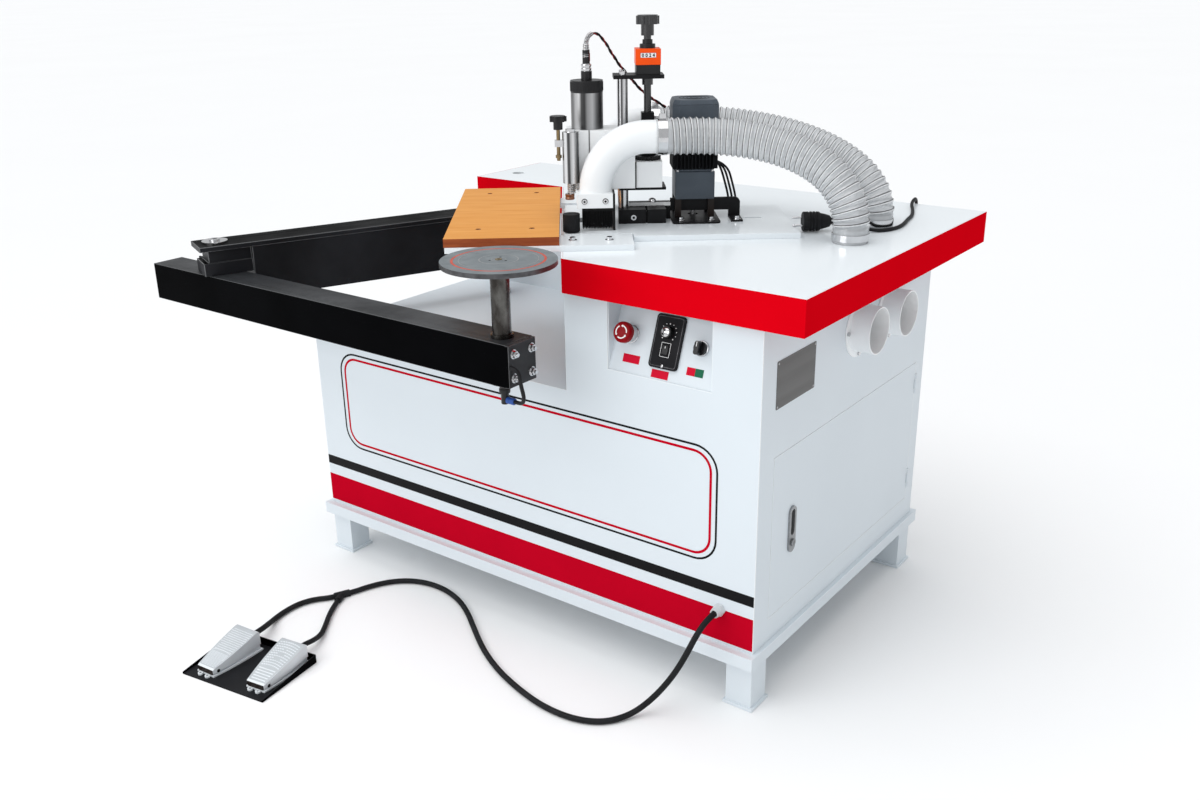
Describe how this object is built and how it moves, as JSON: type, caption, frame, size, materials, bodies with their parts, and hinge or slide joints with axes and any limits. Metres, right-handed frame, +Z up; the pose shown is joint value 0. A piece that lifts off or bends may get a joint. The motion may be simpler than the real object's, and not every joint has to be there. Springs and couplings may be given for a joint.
{
  "type": "edge trimming machine",
  "caption": "Woodworking edge trimming machine: white floor cabinet, red-rimmed table, trimming head, dust hoses, jointed suction arm and foot pedals",
  "frame": {"origin": "on the floor, at the centre of the four feet", "axes": "X along the front from left to right, Y from the front to the rear, Z up"},
  "size_m": [1.6813, 1.5441, 1.35],
  "materials": {
    "white_enamel": "gloss white enamel",
    "red_enamel": "gloss red enamel",
    "black_enamel": "satin black enamel",
    "grey_casting": "light grey coated casting",
    "motor_black": "matt black motor enamel",
    "machined_steel": "machined and brushed",
    "polished_steel": "polished",
    "head_aluminium": "milled",
    "blackened_steel": "black oxide",
    "white_plastic": "moulded white pipe",
    "clear_hose": "clear ribbed wall",
    "black_plastic": "moulded black",
    "red_plastic": "moulded red",
    "grey_plastic": "moulded pale grey",
    "orange_plastic": "orange case on a black base",
    "black_rubber": "matt",
    "brush_fibre": "loose dark strands",
    "orange_wood": "varnished board",
    "disc_steel": "dark turned face, bright post"
  },
  "bodies": {
    "machine": {"base_frame": "white_enamel", "cabinet_front": "white_enamel", "cabinet_shell": "white_enamel", "cabinet_right": "white_enamel", "cabinet_deck": "white_enamel", "table_top": "white_enamel", "table_rim": "red_enamel", "control_tray": "white_enamel", "dust_ports": "white_enamel", "dust_ducts": "machined_steel", "dust_elbow_front": "white_plastic", "dust_elbow_rear": "white_plastic", "dust_brush": "brush_fibre", "hose_front": "clear_hose", "hose_rear": "clear_hose", "speed_controller": "black_plastic", "cable_glands": "grey_plastic", "support_board": "orange_wood", "base_plates": "white_enamel", "slide_rail": "blackened_steel", "guide_columns": "polished_steel", "top_bracket": "blackened_steel", "position_indicator": "orange_plastic", "lower_spindle": "machined_steel", "feed_motor": "motor_black", "motor_stand": "blackened_steel", "feed_belt": "black_rubber", "shoulder_post": "machined_steel", "pedal_tray": "black_enamel", "pedal_bases": "grey_casting", "pedal_cord": "black_rubber", "pedal_branch": "black_rubber", "cord_splitter": "black_rubber", "mains_cord": "black_rubber", "mains_plug": "black_plastic", "fasteners": "polished_steel"},
    "upper_arm": {"upper_arm": "black_enamel"},
    "forearm": {"forearm": "black_enamel", "forearm_fasteners": "polished_steel", "vacuum_fitting": "black_plastic"},
    "suction_disc": {"suction_disc": "disc_steel"},
    "carriage": {"head_carriage": "head_aluminium", "spindle_motor": "machined_steel", "tracer_unit": "polished_steel", "spindle_cable": "black_rubber"},
    "upper_cutter": {"upper_cutter": "machined_steel"},
    "tracer_knob": {"tracer_knob": "black_plastic"},
    "height_screw": {"height_screw": "black_plastic"},
    "lower_cutter": {"lower_cutter": "machined_steel"},
    "feed_pulley": {"feed_pulley": "machined_steel"},
    "feed_roller": {"feed_roller": "blackened_steel"},
    "estop_button": {"estop_button": "red_plastic"},
    "speed_knob": {"speed_knob": "black_plastic"},
    "rocker_switch": {"rocker_switch": "black_plastic"},
    "selector_knob": {"selector_knob": "black_plastic"},
    "door": {"door": "white_enamel", "handle_plate": "polished_steel"},
    "door_latch": {"door_latch": "polished_steel"},
    "pedal_left": {"pedal_left": "grey_casting"},
    "pedal_right": {"pedal_right": "grey_casting"}
  },
  "joints": [
    {"name": "shoulder", "type": "hinge", "parent": "machine", "child": "upper_arm", "pos_m": [-0.4595, 0.1045, 0.78], "axis": [0, 0, 1], "range_deg": [-60, 5]},
    {"name": "elbow", "type": "hinge", "parent": "upper_arm", "child": "forearm", "pos_m": [-0.7505, -0.576, 0.78], "axis": [0, 0, 1], "range_deg": [-50, 4]},
    {"name": "disc_turn", "type": "hinge", "parent": "forearm", "child": "suction_disc", "pos_m": [0.1565, -0.583, 0.8], "axis": [0, 0, 1], "continuous": true},
    {"name": "head_height", "type": "slide", "parent": "machine", "child": "carriage", "axis": [0, 0, 1], "range_m": [-0.008, 0.045]},
    {"name": "height_screw_turn", "type": "hinge", "parent": "machine", "child": "height_screw", "pos_m": [0.13578, -0.05282, 1.2], "axis": [0, 0, 1], "range_deg": [-725, 4060]},
    {"name": "upper_cutter_spin", "type": "hinge", "parent": "carriage", "child": "upper_cutter", "pos_m": [0.03195, -0.13465, 0.96], "axis": [0, 0, 1], "continuous": true},
    {"name": "tracer_knob_turn", "type": "hinge", "parent": "carriage", "child": "tracer_knob", "pos_m": [0.02145, -0.2244, 1.1], "axis": [0, 0, 1], "range_deg": [-720, 720]},
    {"name": "lower_cutter_spin", "type": "hinge", "parent": "machine", "child": "lower_cutter", "pos_m": [0.03195, -0.13465, 0.9], "axis": [0, 0, 1], "continuous": true},
    {"name": "feed_pulley_spin", "type": "hinge", "parent": "machine", "child": "feed_pulley", "pos_m": [0.20092, 0.03416, 0.9], "axis": [0, 0, 1], "continuous": true},
    {"name": "feed_roller_spin", "type": "hinge", "parent": "machine", "child": "feed_roller", "pos_m": [0.07682, -0.25589, 0.9], "axis": [0, 0, 1], "continuous": true},
    {"name": "estop_press", "type": "slide", "parent": "machine", "child": "estop_button", "axis": [0, 0.9373, -0.3486], "range_m": [0, 0.005], "stiffness_N_per_m": 600, "springref_m": -0.01},
    {"name": "speed_knob_turn", "type": "hinge", "parent": "machine", "child": "speed_knob", "pos_m": [0.406, -0.36689, 0.77104], "axis": [0, -0.9373, 0.3486], "range_deg": [-135, 135]},
    {"name": "rocker_tip", "type": "hinge", "parent": "machine", "child": "rocker_switch", "pos_m": [0.406, -0.38283, 0.73963], "axis": [1, 0, 0], "range_deg": [-10, 10]},
    {"name": "selector_turn", "type": "hinge", "parent": "machine", "child": "selector_knob", "pos_m": [0.484, -0.37316, 0.75417], "axis": [0, -0.9373, 0.3486], "range_deg": [-45, 45]},
    {"name": "door_swing", "type": "hinge", "parent": "machine", "child": "door", "pos_m": [0.6335, 0.3596, 0.3695], "axis": [0, 0, 1], "range_deg": [0, 110]},
    {"name": "latch_turn", "type": "hinge", "parent": "door", "child": "door_latch", "pos_m": [0.6335, -0.257, 0.3315], "axis": [1, 0, 0], "range_deg": [0, 90]},
    {"name": "pedal_left_press", "type": "hinge", "parent": "machine", "child": "pedal_left", "pos_m": [-0.40622, -0.96805, 0.012], "axis": [-0.9962, -0.0872, 0], "range_deg": [0, 5], "stiffness_Nm_per_rad": 6, "springref_deg": -5.73},
    {"name": "pedal_right_press", "type": "hinge", "parent": "machine", "child": "pedal_right", "pos_m": [-0.26914, -0.94117, 0.012], "axis": [-0.9882, -0.153, 0], "range_deg": [0, 5], "stiffness_Nm_per_rad": 6, "springref_deg": -5.73}
  ],
  "couplings": [
    {"joint": "height_screw_turn", "follows": "head_height", "rad_per_m": 1570.8},
    {"joint": "feed_roller_spin", "follows": "feed_pulley_spin", "ratio": 1}
  ]
}
